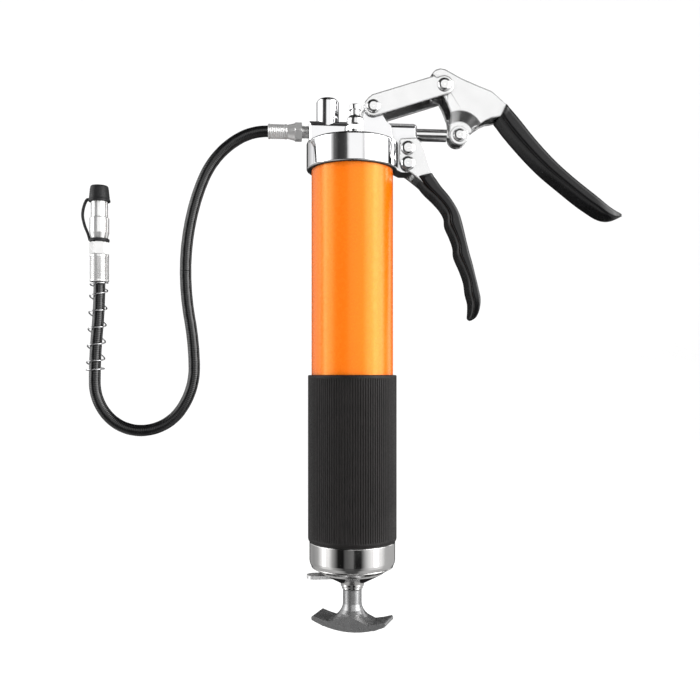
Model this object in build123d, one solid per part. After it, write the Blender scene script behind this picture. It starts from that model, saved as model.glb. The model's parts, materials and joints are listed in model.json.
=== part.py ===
from build123d import *
import math
import os

# Lever grease gun with a flexible hose, in millimetres.
# Origin: on the barrel's axis, half way along its bare painted length.
# +Z runs up the barrel, +X towards the lever, -X towards the hose.

RUN_CLEAR = 0.05             # radial clearance of close fits
SHEET = 2.2                  # thickness of the lever's and the handle frame's sheet
# barrel and its rubber grip
BARREL_R = 28.5
BARREL_WALL = 1.5
BARE_HALF = 71.25            # half of the bare length between collar and grip
BARREL_BOTTOM = -204.9
BARREL_TOP = 84.4
GRIP_R = 31.0
GRIP_BOTTOM = -187.0
# pump head
COLLAR_R = 32.0
COLLAR_TOP = 90.8
SOCKET_ROOF = 86.0
PUMP_Z = 97.9                # height of the pump bore's axis
BODY_HALF = 8.0              # half width of the cast bar across the head
BODY_TOP = 104.5
BODY_LEFT = -30.3
BODY_RIGHT = 44.7
PLUNGER_R = 4.3
VALVE_X = -17.3
VALVE_BOSS_R = 7.8
VALVE_BOSS_TOP = 118.7
PASSAGE_Z = 93.4             # height of the passage leading to the valve
NIPPLE_X = 0.5
NIPPLE_Y = -16.5
NIPPLE_SEAT = COLLAR_TOP + 0.5
# linkage: pin centres are (x, z)
LINK_PIN = (13.44, 113.33)
LEVER_PIN = (62.85, 129.69)
PLUNGER_PIN = (74.75, 96.8)
EAR_HALF = 10.2
LEVER_HALF = 10.3
LINK_IN = 10.6
LINK_OUT = 12.6
PIN_R = 3.0
HOLE_R = 3.05
TONGUE_HALF = 3.4
# fixed handle
LUG_HALF = 8.0
FRAME_IN = 8.2
FRAME_OUT = FRAME_IN + SHEET
HANDLE_PINS = ((37.8, 85.9), (37.8, 75.3))
VINYL_HALF = 12.4            # half width of both vinyl grips
# end cap, rod and latch
CAP_R = 30.0
CAP_TOP = -187.2
CAP_FLOOR = -205.1
ROD_R = 3.175
ROD_BOTTOM = -234.0
LATCH_Z = -211.6
LATCH_HALF = 1.2             # half thickness of the latch plate
# follower and its spring
SPRING_MEAN_R = 23.2
SPRING_WIRE = 2.2
SPRING_BOTTOM = -204.15
FOLLOWER_BOTTOM = 62.0
FOLLOWER_TOP = 63.6
CUP_FLOOR = 70.6
# hose and coupler
HOSE_R = 3.95
HOSE_BORE = 1.9
FITTING_BORE = 1.2
FERRULE_NECK = 2.6
HEAD_HEX_X = -35.3           # right face of the head fitting's hexagon
HEAD_HEX_LEN = 4.9
HEAD_FERRULE_X = -45.4
COUPLER_X = -173.2
END_Z = 10.9                 # top of the end ferrule, foot of the end hexagon
HEX_TOP = 19.3
HOSE_END_Z = -7.8            # where the hose becomes straight below the coupler

os.makedirs("parts", exist_ok=True)


# ---------------------------------------------------------------- helpers
STANDING = (Align.CENTER, Align.CENTER, Align.MIN)


def save(name, shape):
    export_step(shape, f"parts/{name}.step")


def largest(shape):
    return max(shape.solids(), key=lambda solid: solid.volume)


def bar(r, start, end):
    """Round bar between two points."""
    run = Vector(*end) - Vector(*start)
    place = Plane(origin=Vector(*start), z_dir=run.normalized())
    return place * Cylinder(r, run.length, align=STANDING)


def upright(r, x, y, z0, z1):
    return Pos(x, y, z0) * Cylinder(r, z1 - z0, align=STANDING)


def along_x(r, x0, x1, z=PUMP_Z):
    return bar(r, (x0, 0, z), (x1, 0, z))


def across(r, x, z, half=20):
    """Round bar along Y, centred on y = 0."""
    return bar(r, (x, -half, z), (x, half, z))


def block(x0, x1, y0, y1, z0, z1):
    return Pos((x0 + x1) / 2, (y0 + y1) / 2, (z0 + z1) / 2) * Box(x1 - x0, y1 - y0, z1 - z0)


def xz_face(points):
    return make_face(Plane.XZ * Polyline(*points, close=True))


def turned(points, x=0.0, y=0.0):
    """Turned piece about a vertical axis; points are (radius, height)."""
    return Pos(x, y, 0) * revolve(xz_face(points), Axis.Z, 360)


def turned_x(points):
    """Turned piece about the pump bore's axis; points are (x, radius)."""
    return Pos(0, 0, PUMP_Z) * revolve(xz_face(points), Axis.X, 360)


def slab(points, half):
    """Plate with the outline points (x, z), centred on y = 0."""
    return extrude(xz_face(points), amount=half, both=True)


def hex_ring(corner_r, height, bore_r, turn):
    hexagon = extrude(RegularPolygon(corner_r, 6, rotation=turn), height)
    return hexagon - Cylinder(bore_r, height, align=STANDING)


def facing_y(side, shape, x, z, y=0.0):
    """Place a shape so that its Z axis points along +Y (side 1) or -Y (side -1)."""
    return Pos(x, y, z) * (Rot(-90 * side, 0, 0) * shape)


def rivet(x, z, half, head_r, tail_r):
    """Headed pin along Y: domed head at -Y, upset end at +Y."""
    head = turned([(0, 0), (head_r, 0), (head_r, 0.9), (head_r - 0.6, 1.6),
                   (head_r - 1.8, 2.0), (0, 2.1)])
    tail = turned([(0, 0), (tail_r, 0), (tail_r, 0.5), (tail_r - 0.9, 1.3), (0, 1.5)])
    return (across(PIN_R, x, z, half) + facing_y(-1, head, x, z, -half)
            + facing_y(1, tail, x, z, half))


def round_points(centre, r, angles):
    """Points (x, z) on a circle at the given angles in degrees."""
    return [(centre[0] + r * math.cos(math.radians(a)), centre[1] + r * math.sin(math.radians(a)))
            for a in angles]


def inset(points, distance):
    """Points moved to the right-hand side of the direction of travel."""
    moved = []
    for i, (x, z) in enumerate(points):
        x0, z0 = points[max(i - 1, 0)]
        x1, z1 = points[min(i + 1, len(points) - 1)]
        length = math.hypot(x1 - x0, z1 - z0)
        moved.append((x + distance * (z1 - z0) / length, z - distance * (x1 - x0) / length))
    return moved


def coil(mean_r, wire_r, stations, per_turn=12, x=0.0, y=0.0, tilt=0.0, hand=1, lean=0.0):
    """Round-wire coil spring through stations (turn count, height).

    The pitch changes gradually at each station. tilt is the axis's x shift per unit of
    height, hand the winding sense, lean the height by which the middle coils slope.
    """
    first, last = stations[0][0], stations[-1][0]
    blend = 0.3              # half the span of turns averaged to soften a pitch change
    samples = 8

    def straight(turn):
        (t0, z0), (t1, z1) = next(pair for pair in zip(stations, stations[1:])
                                  if turn <= pair[1][0] + 1e-9)
        return z0 + (z1 - z0) * (turn - t0) / (t1 - t0)

    def height(turn):
        if turn - blend < first or turn + blend > last:
            return straight(turn)
        return sum(straight(turn - blend + 2 * blend * i / samples)
                   for i in range(samples + 1)) / (samples + 1)

    points = []
    steps = int((last - first) * per_turn)
    for i in range(steps + 1):
        turn = first + (last - first) * i / steps
        z = height(turn)
        angle = hand * 2 * math.pi * turn
        if lean:
            fade = min(1.0, max(0.0, turn - first - 0.6), max(0.0, last - 0.6 - turn))
            z += lean * math.sin(2 * math.pi * (turn - 0.25)) * fade
        points.append((x + tilt * (z - stations[0][1]) + mean_r * math.cos(angle),
                       y + mean_r * math.sin(angle), z))
    return round_sweep(wire_r, Spline(*points), is_frenet=True)


def round_sweep(r, path, **options):
    return sweep(Plane(origin=path @ 0, z_dir=path % 0) * Circle(r), path=path, **options)


# ---------------------------------------------------------------- pump head
# (y, z) down the +Y side of the cast bar's section, from the foot to the top
BODY_SIDE = [(BODY_HALF, 88.5), (BODY_HALF, 100.4), (7.6, 101.9), (6.7, 103.2), (5.4, 104.1),
             (3.8, BODY_TOP)]


def head_body():
    """Cast bar across the head, its ends chamfered all round."""
    section = [(-y, z) for y, z in BODY_SIDE] + BODY_SIDE[::-1]
    body = Pos(BODY_LEFT, 0, 0) * extrude(make_face(Plane.YZ * Polyline(*section, close=True)),
                                          amount=BODY_RIGHT - BODY_LEFT, dir=(1, 0, 0))
    body &= slab([(BODY_LEFT, 86.0), (BODY_LEFT, 103.3), (BODY_LEFT + 1.4, 106.0),
                  (BODY_RIGHT - 2.6, 106.0), (BODY_RIGHT - 2.6, BODY_TOP), (BODY_RIGHT, 101.9),
                  (BODY_RIGHT, 86.0)], 9)
    side = [(BODY_LEFT, -BODY_HALF + 1.2), (BODY_LEFT + 1.2, -BODY_HALF),
            (BODY_RIGHT - 1.6, -BODY_HALF), (BODY_RIGHT, -BODY_HALF + 1.6)]
    plan = side + [(x, -y) for x, y in side[::-1]]
    return body & extrude(make_face(Plane.XY.offset(80) * Polyline(*plan, close=True)), amount=30)


def pump_head():
    collar = upright(COLLAR_R, 0, 0, BARE_HALF, COLLAR_TOP)
    collar = fillet(collar.edges().filter_by(GeomType.CIRCLE).sort_by(Axis.Z)[-1], 1.8)
    collar = fillet(collar.edges().filter_by(GeomType.CIRCLE).sort_by(Axis.Z)[0], 1.2)
    valve_boss = upright(VALVE_BOSS_R, VALVE_X, 0, 92.0, VALVE_BOSS_TOP)
    x, z = LINK_PIN
    ear_r = 5.2
    ear = slab([(x - 8.4, 92.0), (x - 7.2, 104.0), (x - ear_r, z), (x + ear_r, z),
                (x + 5.9, 109.5), (x + 9.0, 104.6), (x + 12.5, 101.0), (x + 13.5, 92.0)],
               EAR_HALF) + across(ear_r, x, z, EAR_HALF)
    lug = slab([(29.0, 95.0), (29.0, 71.6), (33.6, 69.4), (41.6, 69.4), (43.4, 71.4),
                (43.4, 95.0)], LUG_HALF)
    nipple_pad = upright(7.6, NIPPLE_X, NIPPLE_Y, 88.0, NIPPLE_SEAT)
    head = collar + head_body() + valve_boss + ear + lug + nipple_pad
    # barrel socket
    head -= upright(BARREL_R + RUN_CLEAR, 0, 0, BARE_HALF - 1, SOCKET_ROOF)
    # pump bore and its seal groove
    head -= along_x(PLUNGER_R + RUN_CLEAR, -8.0, BODY_RIGHT + 1)
    head -= along_x(6.3, 38.0, 41.0)
    # inlet from the barrel, then the passage to the valve
    head -= upright(2.0, x, 0, 85.0, 95.5)
    head -= along_x(1.6, -6.5, VALVE_X, z=PASSAGE_Z)
    head -= upright(1.6, VALVE_X, 0, PASSAGE_Z, 98.5)
    # valve chamber and the wider bore for its plug
    head -= upright(4.2, VALVE_X, 0, 98.0, 110.5)
    head -= upright(5.0, VALVE_X, 0, 110.0, VALVE_BOSS_TOP + 1)
    # hose port and the passage from it to the valve chamber
    head -= along_x(4.4, BODY_LEFT - 1, -23.5)
    head -= along_x(1.5, -24.5, VALVE_X - 1.0, z=100.2)
    head -= upright(4.0, NIPPLE_X, NIPPLE_Y, 85.0, COLLAR_TOP + 1.5)
    for pin in (LINK_PIN,) + HANDLE_PINS:
        head -= across(HOLE_R, *pin)
    return head


save("pump_head", pump_head())
save("valve_plug", turned([
    (0, 121.7), (3.2, 121.6), (5.8, 120.9), (7.3, 119.7), (7.5, VALVE_BOSS_TOP),
    (5.0, VALVE_BOSS_TOP), (5.0, 110.4), (4.4, 110.0), (0, 110.0)], VALVE_X))
save("check_ball", Pos(VALVE_X, 0, 99.785) * Sphere(2.38))
save("valve_spring", coil(1.9, 0.3, [(0, 102.5), (1, 103.1), (4.5, 109.0), (5.5, 109.65)],
                          x=VALVE_X))

# filler nipple: (radius, height above its seat), up the outside and back down the bore
NIPPLE_OUTLINE = [
    (4.0, 0), (7.0, 0), (7.0, 1.5), (6.5, 1.9), (4.9, 1.9), (4.9, 3.8), (5.2, 6.6),
    (5.75, 7.7), (5.9, 9.4), (5.7, 11.2), (4.9, 12.7), (3.6, 13.5), (3.1, 13.9), (3.1, 17.2),
    (4.05, 17.7), (4.05, 20.7), (3.6, 21.1), (1.0, 21.1), (1.0, 17.9), (2.6, 17.9)]
NIPPLE_FLOOR = 93.4          # step in the nipple's bore that carries the spring


def filler_nipple():
    points = [(1.5, SOCKET_ROOF), (4.0, SOCKET_ROOF)]
    points += [(r, NIPPLE_SEAT + h) for r, h in NIPPLE_OUTLINE]
    points += [(2.6, NIPPLE_FLOOR), (1.5, NIPPLE_FLOOR)]
    hexagon = Pos(NIPPLE_X, NIPPLE_Y, NIPPLE_SEAT + 3.4) * hex_ring(6.0, 3.2, 4.8, 12)
    return turned(points, NIPPLE_X, NIPPLE_Y) + hexagon


save("filler_nipple", filler_nipple())
save("filler_ball", Pos(NIPPLE_X, NIPPLE_Y, NIPPLE_SEAT + 16.12) * Sphere(2.03))
save("filler_spring", coil(1.9, 0.28, [(0, 93.75), (1, 94.35), (5, NIPPLE_SEAT + 13.2),
                                       (6, NIPPLE_SEAT + 13.75)], x=NIPPLE_X, y=NIPPLE_Y))

# ---------------------------------------------------------------- barrel
BARREL_BORE = BARREL_R - BARREL_WALL
save("barrel_tube", turned([(BARREL_BORE, BARREL_BOTTOM), (BARREL_R, BARREL_BOTTOM),
                            (BARREL_R, BARREL_TOP), (BARREL_BORE, BARREL_TOP)]))
save("barrel_grip", turned([
    (BARREL_R, GRIP_BOTTOM), (GRIP_R - 1.6, GRIP_BOTTOM), (GRIP_R - 0.5, GRIP_BOTTOM + 0.5),
    (GRIP_R, GRIP_BOTTOM + 1.6), (GRIP_R, -BARE_HALF - 0.6), (GRIP_R - 0.6, -BARE_HALF),
    (BARREL_R, -BARE_HALF)]))
save("head_gasket", turned([(25.0, BARREL_TOP), (BARREL_R, BARREL_TOP),
                            (BARREL_R, SOCKET_ROOF), (25.0, SOCKET_ROOF)]))


def end_cap():
    """Stepped cap with a slot on the -X side for the latch."""
    fit_r = BARREL_R + RUN_CLEAR
    outside = [
        (fit_r, CAP_TOP), (CAP_R - 0.3, CAP_TOP), (CAP_R, CAP_TOP - 0.4), (CAP_R, -200.0),
        (CAP_R - 0.3, -201.8), (CAP_R - 1.1, -203.6), (CAP_R - 2.4, -205.2),
        (CAP_R - 4.2, -206.4), (CAP_R - 6.2, -207.1), (23.0, -207.4), (22.4, -208.0),
        (21.9, -209.1), (9.0, -216.0), (8.1, -216.6), (8.1, -218.4), (7.7, -218.7),
        (7.3, -218.8), (7.3, -220.3), (3.25, -220.3)]
    inside = [(3.25, -214.9), (8.0, -214.6), (20.6, -207.6), (20.6, CAP_FLOOR),
              (26.6, CAP_FLOOR), (27.6, BARREL_BOTTOM), (fit_r, BARREL_BOTTOM)]
    return turned(outside + inside) - block(-26.0, -6.0, -6.0, 6.0, -215.0, -207.6)


save("end_cap", end_cap())
SEAT_TOP = SPRING_BOTTOM - 0.05
save("spring_seat", turned([(3.7, CAP_FLOOR), (26.0, CAP_FLOOR), (26.0, SEAT_TOP),
                            (3.7, SEAT_TOP)]))


# ---------------------------------------------------------------- follower and rod
def follower_rod():
    """Rod with a groove turned round it."""
    groove = turned([(2.4, -12.9), (4, -14.0), (4, -9.2), (2.4, -10.3)])
    return upright(ROD_R, 0, 0, ROD_BOTTOM, 76.0) - groove


save("follower_rod", follower_rod())
save("rod_nut", Pos(0, 0, CUP_FLOOR) * hex_ring(6.35, 4.6, ROD_R, 0))
save("follower_plate", turned([(ROD_R, FOLLOWER_BOTTOM), (25.6, FOLLOWER_BOTTOM),
                               (25.6, FOLLOWER_TOP), (ROD_R, FOLLOWER_TOP)]))
save("follower_cup", turned([
    (ROD_R, FOLLOWER_TOP), (25.4, FOLLOWER_TOP), (26.2, 66.0), (26.92, 75.0), (26.92, 78.5),
    (25.4, 78.5), (24.0, CUP_FLOOR), (ROD_R, CUP_FLOOR)]))
save("follower_spring", coil(SPRING_MEAN_R, SPRING_WIRE / 2, [
    (0, SPRING_BOTTOM + SPRING_WIRE / 2), (1, SPRING_BOTTOM + SPRING_WIRE * 1.55),
    (17, FOLLOWER_BOTTOM - SPRING_WIRE * 1.6),
    (18, FOLLOWER_BOTTOM - SPRING_WIRE / 2 - 0.05)]))

# T-handle
T_ARC_R = 62.9               # underside of the curved bar
T_BOTTOM = -248.6
T_DEPTH = 10.0               # half depth of the bar
T_TURN = -24                 # degrees about the rod
# (distance from the rod's axis, thickness of the bar)
T_STATIONS = [(0.0, 5.2), (5.0, 5.1), (10.0, 4.8), (15.0, 4.4), (20.0, 4.0), (24.0, 3.7),
              (27.0, 3.4)]


def t_handle():
    """Upright ferrule flaring into a curved bar, turned a little about the rod."""
    low, top = [], []
    for x, thick in [(-x, t) for x, t in T_STATIONS[:0:-1]] + T_STATIONS:
        z = T_BOTTOM + T_ARC_R - math.sqrt(T_ARC_R ** 2 - x ** 2)
        low.append((x, z))
        top.append((x, z + thick))
    curved_bar = slab(low + top[::-1], T_DEPTH)
    tips = [e for e in curved_bar.edges().filter_by(Axis.Y) if abs(e.center().X) > 26.5]
    curved_bar = fillet(tips, 1.4)
    flare = turned([
        (0, -247.5), (21.5, -246.0), (21.5, -244.4), (17.2, -242.6), (13.8, -240.8),
        (11.2, -239.0), (9.2, -236.9), (7.7, -234.6), (6.9, -232.6), (6.6, -230.6),
        (6.55, -221.0), (6.1, -220.5), (0, -220.5)])
    flare &= block(-30, 30, -T_DEPTH, T_DEPTH, -260, -200)
    handle = curved_bar + flare
    handle -= upright(ROD_R, 0, 0, ROD_BOTTOM, -219.0)
    return Rot(0, 0, T_TURN) * handle


def rod_latch():
    """Plate round the rod, with a rounded tab out through the cap's slot."""
    low, high = LATCH_Z - LATCH_HALF, LATCH_Z + LATCH_HALF
    half, tab_x = 5.4, -26.5
    latch = slab([(tab_x, low), (8.4, low), (8.4, high), (tab_x, high)], half)
    for y in (3.4, -6.0):    # notched corners at the +X end
        latch -= block(6.0, 9.0, y, y + 2.6, -214, -209)
    latch += upright(half, tab_x, 0, low, high)
    return latch - upright(ROD_R + 0.55, 0, 0, -214, -209)


save("t_handle", t_handle())
save("rod_latch", rod_latch())
save("latch_spring", coil(5.0, 0.4, [(0, LATCH_Z + 1.7), (1, LATCH_Z + 2.55), (3, -206.4),
                                     (4, -205.55)]))

# ---------------------------------------------------------------- link and pins
LINK_DX = LEVER_PIN[0] - LINK_PIN[0]
LINK_DZ = LEVER_PIN[1] - LINK_PIN[1]
LINK_LEN = math.hypot(LINK_DX, LINK_DZ)


def link_slab(points, half):
    """Plate from points (distance along the link from the link pin, distance above it)."""
    ux, uz = LINK_DX / LINK_LEN, LINK_DZ / LINK_LEN
    return slab([(LINK_PIN[0] + u * ux - n * uz, LINK_PIN[1] + u * uz + n * ux)
                 for u, n in points], half)


def link():
    """Two cheeks joined by a web along their upper edge."""
    web_end = LINK_LEN - 4.8
    past = LINK_LEN + 20
    body = link_slab([(-2.0, 6.4), (1.6, 8.0), (web_end, 8.0), (LINK_LEN - 3.2, 6.2),
                      (LINK_LEN, 6.5), (LINK_LEN, -6.5), (0, -6.5), (-6.0, 0), (-5.2, 4.0)],
                     LINK_OUT)
    for pin in (LINK_PIN, LEVER_PIN):
        body += across(6.5, *pin, LINK_OUT)
    body -= link_slab([(-20, -20), (-20, 5.8), (past, 5.8), (past, -20)], LINK_IN)
    # the web stops short of both ends
    body -= link_slab([(web_end, 0), (web_end, 20), (past, 20), (past, 0)], LINK_IN)
    body -= link_slab([(-20, 0), (-20, 20), (0.6, 20), (0.6, 0)], LINK_IN)
    for pin in (LINK_PIN, LEVER_PIN):
        body -= across(HOLE_R, *pin)
    return body


save("link", link())
save("link_pin", rivet(*LINK_PIN, LINK_OUT, 4.6, 4.3))
save("lever_pin", rivet(*LEVER_PIN, LINK_OUT, 4.6, 4.3))

JOG_OUT = 5.8                # half width of the lever's stepped-in cheeks, outside
JOG_IN = JOG_OUT - SHEET
JOG_R0, JOG_R1 = 9.8, 16.0   # radii over which the cheeks step in
PIN_FLANGE = 0.9


def plunger_pin():
    """Rivet with a thin flange against the outside of each cheek."""
    x, z = PLUNGER_PIN
    outer = JOG_OUT + PIN_FLANGE
    pin = rivet(x, z, outer, 4.5, 4.1)
    for side in (-1, 1):
        pin += bar(6.4, (x, side * JOG_OUT, z), (x, side * outer, z))
    return pin


save("plunger_pin", plunger_pin())

# ---------------------------------------------------------------- lever
# (x, z) along the upper edge to the tip, back along the lower edge, then round both pins
LEVER_TOP = [
    (54.9, 138.6), (57.2, 140.7), (60.4, 141.8), (64.0, 141.3), (75.3, 135.4), (88.8, 130.0),
    (97.0, 127.0), (107.0, 118.4), (114.6, 108.9), (128.2, 92.7), (141.8, 78.4), (155.6, 66.7),
    (169.4, 56.3), (173.6, 53.2)]
LEVER_LOW = [
    (169.6, 49.6), (157.0, 59.9), (136.4, 75.5), (116.0, 95.8), (104.6, 110.1), (100.2, 109.0),
    (96.6, 108.4), (92.5, 106.6), (88.3, 103.6), (83.2, 98.9)]
LEVER_OUTLINE = (
    LEVER_TOP + LEVER_LOW + round_points(PLUNGER_PIN, 6.8, range(10, -181, -15))
    + [(67.8, 101.0), (68.3, 105.0), (68.3, 109.0), (67.4, 112.8), (65.4, 117.8), (62.9, 122.6)]
    + round_points(LEVER_PIN, 7.0, (262, 240, 220, 200, 180, 162, 147)) + [(56.7, 135.4)])


def lever():
    """Stamped channel, open below; its cheeks step inward round the plunger pin."""
    outer = slab(LEVER_OUTLINE, LEVER_HALF)
    half_in = LEVER_HALF - SHEET
    top_in = inset(LEVER_TOP, SHEET)
    x, z = top_in[0]
    inner = slab([(x - 0.4, z - 0.4)] + top_in[1:] + [
        (190.0, 41.0), (172.0, 20.0), (100.0, 20.0), (40.0, 60.0), (40.0, 128.0),
        (52.0, 134.6)], half_in)
    channel = outer - inner
    channel -= across(JOG_R1, *PLUNGER_PIN)
    dish = turned([(0, JOG_IN), (JOG_R0 + 0.4, JOG_IN), (JOG_R1, half_in),
                   (JOG_R1, LEVER_HALF), (JOG_R0, JOG_OUT), (0, JOG_OUT)])
    dishes = [facing_y(side, dish, *PLUNGER_PIN) & outer for side in (1, -1)]
    channel = channel + dishes[0] + dishes[1]
    channel -= across(PIN_R, *PLUNGER_PIN)
    return channel - across(HOLE_R, *LEVER_PIN)


# lever grip: (x, z) along the upper edge and round the tip, then back along the lower edge
LEVER_GRIP = [
    (107.7, 118.7), (115.5, 110.2), (129.14, 93.86), (142.84, 79.49), (156.67, 67.66),
    (170.48, 57.19), (181.5, 48.8), (186.6, 44.0), (188.4, 40.6), (187.4, 38.0),
    (184.35, 36.4), (179.4, 36.4),
    (172.6, 43.6), (156.67, 57.2), (136.02, 73.2), (115.5, 93.4), (103.2, 109.4)]


def lever_grip():
    """Closed vinyl sleeve over the channel, its tip narrowed."""
    grip = slab(LEVER_GRIP, VINYL_HALF)
    for side in (-1, 1):
        cutter = Rot(0, 38, 0) * (Rot(0, 0, side * 45) * Box(11.0, 11.0, 60.0))
        grip -= Pos(186.5, side * VINYL_HALF, 38.5) * cutter
    return largest(grip - slab(LEVER_OUTLINE, LEVER_HALF))


save("lever", lever())
save("lever_grip", lever_grip())

# ---------------------------------------------------------------- plunger
# (x, height above the pump axis) round the flat tongue
TONGUE = [(64.0, -2.4), (67.6, -2.4), (70.2, -6.2), (72.6, -7.4), (76.6, -7.4), (78.8, -6.0),
          (79.8, -3.5), (79.8, 2.6), (78.6, 4.2), (76.5, 4.9), (73.0, 4.9), (70.4, 4.2),
          (67.6, 2.4), (64.0, 2.4)]
SLOT_HALF = PIN_R + 0.22
SLOT_X = PLUNGER_PIN[0] - 0.06
SLOT_Z0, SLOT_Z1 = 95.2, 98.1


def plunger():
    """Round rod with a tongue, slotted so that the pin rises and falls with the lever."""
    rod = along_x(PLUNGER_R, 18.0, 66.4)
    rod += slab([(x, PUMP_Z + h) for x, h in TONGUE], TONGUE_HALF)
    slot = across(SLOT_HALF, SLOT_X, SLOT_Z1) + across(SLOT_HALF, SLOT_X, SLOT_Z0)
    slot += block(SLOT_X - SLOT_HALF, SLOT_X + SLOT_HALF, -20, 20, SLOT_Z0, SLOT_Z1)
    rod -= slot
    return chamfer(rod.edges().filter_by(GeomType.CIRCLE).sort_by(Axis.X)[0], 0.5)


save("plunger", plunger())
save("plunger_seal", turned_x([(38.3, 4.33), (40.7, 4.33), (40.7, 6.3), (38.3, 6.3)]))

# ---------------------------------------------------------------- fixed handle
# (x, z) down the +X edge of the frame, then up its -X edge
FRAME_RIGHT = [
    (32.6, 92.3), (43.6, 93.2), (47.6, 89.7), (50.3, 84.5), (51.7, 78.8), (54.3, 71.4),
    (60.2, 59.2), (66.2, 51.8), (71.3, 44.2), (74.3, 37.2), (77.9, 22.4), (82.4, 6.4),
    (86.8, -11.8), (87.6, -16.4)]
FRAME_LEFT = [
    (83.8, -16.9), (83.0, -12.4), (81.8, -3.2), (79.9, 2.4), (77.6, 8.4), (74.2, 20.6),
    (70.6, 34.4), (67.4, 41.6), (62.6, 48.6), (56.6, 55.4), (47.2, 63.2), (41.0, 68.0),
    (34.4, 72.4), (32.2, 75.8), (31.9, 79.0)]
# the vinyl grip, in the same order
HANDLE_GRIP = [
    (55.5, 68.6), (61.6, 59.9), (67.5, 52.8), (72.7, 44.9), (75.6, 37.6), (79.3, 22.4),
    (83.8, 6.4), (88.2, -11.8), (89.6, -17.3), (88.8, -26.6), (86.6, -31.0), (84.0, -32.4),
    (82.2, -31.0), (83.4, -26.5), (83.6, -21.5), (81.33, -12.28), (80.15, -3.16), (78.0, 2.2),
    (74.6, 8.9), (73.0, 13.5), (72.8, 19.6), (71.0, 24.9), (67.6, 30.9), (66.65, 34.7),
    (66.4, 40.1), (64.6, 43.8), (60.8, 48.3), (54.2, 55.4), (46.2, 61.6), (43.2, 64.2),
    (45.4, 67.0)]


def frame_blank():
    return slab(FRAME_RIGHT + FRAME_LEFT, FRAME_OUT)


def handle_frame():
    """Sheet channel with its web on the -X edge, open round the head's lug."""
    web_in = inset(FRAME_LEFT[:-3], SHEET)
    frame = frame_blank() - slab(web_in + [
        (34.0, 84.0), (20.0, 84.0), (20.0, 110.0), (70.0, 110.0), (130.0, 20.0),
        (120.0, -60.0), (86.3, -30.0)], FRAME_IN)
    frame -= slab([(20, 70.4), (20, 110), (60, 110), (60, 84), (43.8, 84), (43.8, 66.0),
                   (32.0, 70.4)], FRAME_IN)
    for pin in HANDLE_PINS:
        frame -= across(HOLE_R, *pin)
    return largest(frame)


def handle_grip():
    """Closed vinyl sleeve, its lower end narrowed."""
    grip = slab(HANDLE_GRIP, VINYL_HALF)
    for side in (-1, 1):
        cutter = Rot(0, 12, 0) * (Rot(side * 45, 0, 0) * Box(60.0, 10.0, 10.0))
        grip -= Pos(85.5, side * VINYL_HALF, -31.5) * cutter
    return largest(grip - frame_blank())


save("handle_frame", handle_frame())
save("handle_pins", Compound(children=[rivet(*pin, FRAME_OUT, 4.8, 4.4) for pin in HANDLE_PINS]))
save("handle_grip", handle_grip())


# ---------------------------------------------------------------- hose fittings
def head_fitting():
    """Threaded stub, hexagon and a tail inside the hose."""
    major_r, root_r = 4.35, 3.85
    hex_end = HEAD_HEX_X - HEAD_HEX_LEN
    points = [(-23.6, FITTING_BORE), (-23.6, 3.9), (-24.0, major_r), (BODY_LEFT, major_r)]
    for i in range(5):       # grooves of the exposed thread
        x = -30.5 - 0.94 * i
        points += [(x, major_r), (x - 0.25, root_r), (x - 0.45, root_r), (x - 0.7, major_r)]
    points += [
        (HEAD_HEX_X, major_r), (HEAD_HEX_X, 5.2), (hex_end, 5.2), (hex_end, 5.85),
        (-44.4, 4.9), (HEAD_FERRULE_X, 4.6), (HEAD_FERRULE_X, FERRULE_NECK),
        (-46.4, FERRULE_NECK), (-46.4, HOSE_BORE), (-57.0, HOSE_BORE), (-57.0, FITTING_BORE)]
    hexagon = Pos(HEAD_HEX_X, 0, PUMP_Z) * (Rot(0, -90, 0) * hex_ring(6.7, HEAD_HEX_LEN, 5.0, 30))
    hexagon &= turned_x([(HEAD_HEX_X, 0), (HEAD_HEX_X, 6.1), (-35.9, 6.75), (-39.6, 6.75),
                         (hex_end, 6.1), (hex_end, 0)])
    return turned_x(points) + hexagon


def end_fitting():
    """Hexagon with a tail inside the hose and a stub inside the coupler."""
    fitting = turned([
        (FITTING_BORE, END_Z - 17.0), (HOSE_BORE, END_Z - 17.0), (HOSE_BORE, END_Z - 1.0),
        (FERRULE_NECK, END_Z - 1.0), (FERRULE_NECK, END_Z), (5.0, END_Z), (5.0, HEX_TOP),
        (3.4, HEX_TOP), (3.4, 26.6), (FITTING_BORE, 26.6)], COUPLER_X)
    hexagon = Pos(COUPLER_X, 0, END_Z) * hex_ring(6.6, HEX_TOP - END_Z, 4.8, 8)
    hexagon &= turned([(0, END_Z), (6.0, END_Z), (6.65, END_Z + 0.7), (6.65, HEX_TOP - 0.7),
                       (6.0, HEX_TOP), (0, HEX_TOP)], COUPLER_X)
    return fitting + hexagon


def ferrule_profile(length, r, crimps):
    """(distance from the hexagon's end, radius) outline of a crimped ferrule."""
    points = [(0, FERRULE_NECK), (0, r - 0.5), (0.5, r)]
    pitch = (length - 3.0) / crimps
    for i in range(crimps):
        d = 1.8 + pitch * i
        points += [(d, r), (d + 0.3, r - 0.36), (d + pitch - 0.65, r - 0.36),
                   (d + pitch - 0.35, r)]
    return points + [(length - 0.4, r), (length, r - 0.4), (length, HOSE_R), (1.0, HOSE_R),
                     (1.0, FERRULE_NECK)]


save("head_fitting", head_fitting())
save("ferrule_head", turned_x([(HEAD_FERRULE_X - d, r) for d, r in ferrule_profile(13.35, 5.1, 7)]))
save("ferrule_end", turned([(r, END_Z - d) for d, r in ferrule_profile(18.7, 6.4, 12)], COUPLER_X))
save("end_fitting", end_fitting())

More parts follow.
